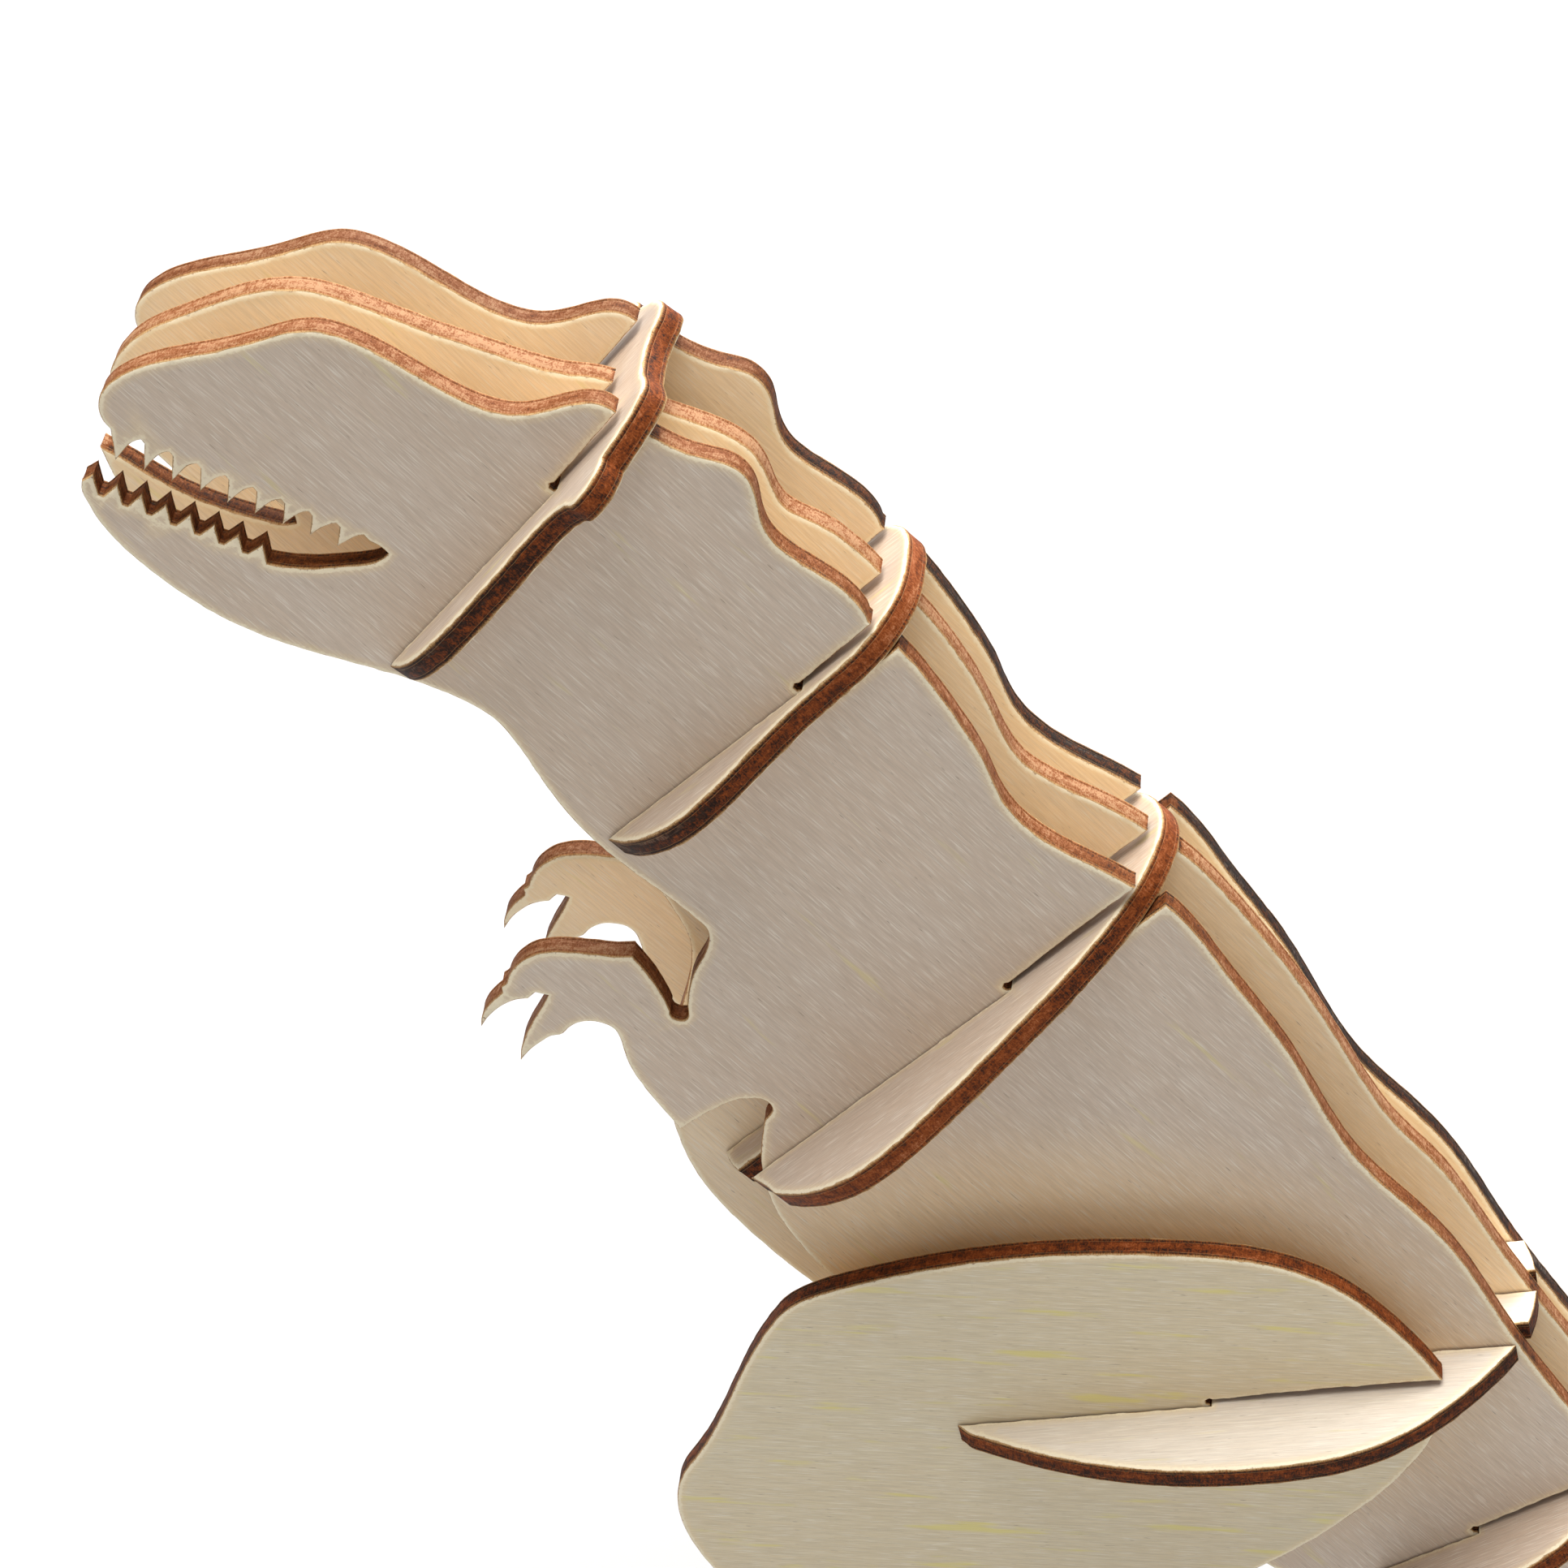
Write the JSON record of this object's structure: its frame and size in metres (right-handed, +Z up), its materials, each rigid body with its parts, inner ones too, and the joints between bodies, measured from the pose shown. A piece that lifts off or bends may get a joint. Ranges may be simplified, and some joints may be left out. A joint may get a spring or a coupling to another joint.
{
  "type": "slot-together wooden dinosaur puzzle",
  "caption": "Slot-together plywood tyrannosaur puzzle: profile plates locked by half-lap cross ribs, standing on two legs and its tail.",
  "frame": {"origin": "on the ground, in the middle of the figure's length and width", "axes": "+Z up, the snout points toward -X, +Y is the figure's right side"},
  "size_m": [0.2931, 0.0532, 0.2294],
  "materials": {
    "plywood": "bare thin plywood with a fine straight grain and brown laser-burnt edges"
  },
  "bodies": {
    "body": {"body_left": "plywood", "body_middle": "plywood", "body_right": "plywood"},
    "rib_1": {"rib_1": "plywood"},
    "rib_2": {"rib_2": "plywood"},
    "rib_3": {"rib_3": "plywood"},
    "tail_rib_1": {"tail_rib_1": "plywood"},
    "tail_rib_2": {"tail_rib_2": "plywood"},
    "tail_rib_3": {"tail_rib_3": "plywood"},
    "tail_rib_4": {"tail_rib_4": "plywood"},
    "tail_rib_5": {"tail_rib_5": "plywood"},
    "hip": {"hip_plate": "plywood"},
    "leg_left": {"leg_left": "plywood"},
    "leg_right": {"leg_right": "plywood"},
    "foot_left": {"foot_left": "plywood"},
    "foot_right": {"foot_right": "plywood"}
  },
  "joints": [
    {"name": "rib_1_pull", "type": "slide", "parent": "body", "child": "rib_1", "axis": [0.6157, 0, 0.788], "range_m": [0, 0.047]},
    {"name": "rib_2_pull", "type": "slide", "parent": "body", "child": "rib_2", "axis": [0.6921, 0, 0.7218], "range_m": [0, 0.048]},
    {"name": "rib_3_pull", "type": "slide", "parent": "body", "child": "rib_3", "axis": [0.6756, 0, 0.7373], "range_m": [0, 0.071]},
    {"name": "tail_rib_1_pull", "type": "slide", "parent": "body", "child": "tail_rib_1", "axis": [0.8049, 0, 0.5934], "range_m": [0, 0.04]},
    {"name": "tail_rib_2_pull", "type": "slide", "parent": "body", "child": "tail_rib_2", "axis": [0.7193, 0, 0.6947], "range_m": [0, 0.033]},
    {"name": "tail_rib_3_pull", "type": "slide", "parent": "body", "child": "tail_rib_3", "axis": [0.5736, 0, 0.8192], "range_m": [0, 0.025]},
    {"name": "tail_rib_4_pull", "type": "slide", "parent": "body", "child": "tail_rib_4", "axis": [0.4695, 0, 0.8829], "range_m": [0, 0.019]},
    {"name": "tail_rib_5_pull", "type": "slide", "parent": "body", "child": "tail_rib_5", "axis": [0.3746, 0, 0.9272], "range_m": [0, 0.015]},
    {"name": "hip_pull", "type": "slide", "parent": "body", "child": "hip", "axis": [-0.9767, 0, -0.2147], "range_m": [0, 0.078]},
    {"name": "leg_left_pull", "type": "slide", "parent": "hip", "child": "leg_left", "axis": [-0.9767, 0, -0.2147], "range_m": [0, 0.06]},
    {"name": "leg_right_pull", "type": "slide", "parent": "hip", "child": "leg_right", "axis": [-0.9767, 0, -0.2147], "range_m": [0, 0.06]},
    {"name": "foot_left_pull", "type": "slide", "parent": "leg_left", "child": "foot_left", "axis": [0, 0, -1], "range_m": [0, 0.01]},
    {"name": "foot_right_pull", "type": "slide", "parent": "leg_right", "child": "foot_right", "axis": [0, 0, -1], "range_m": [0, 0.01]}
  ]
}
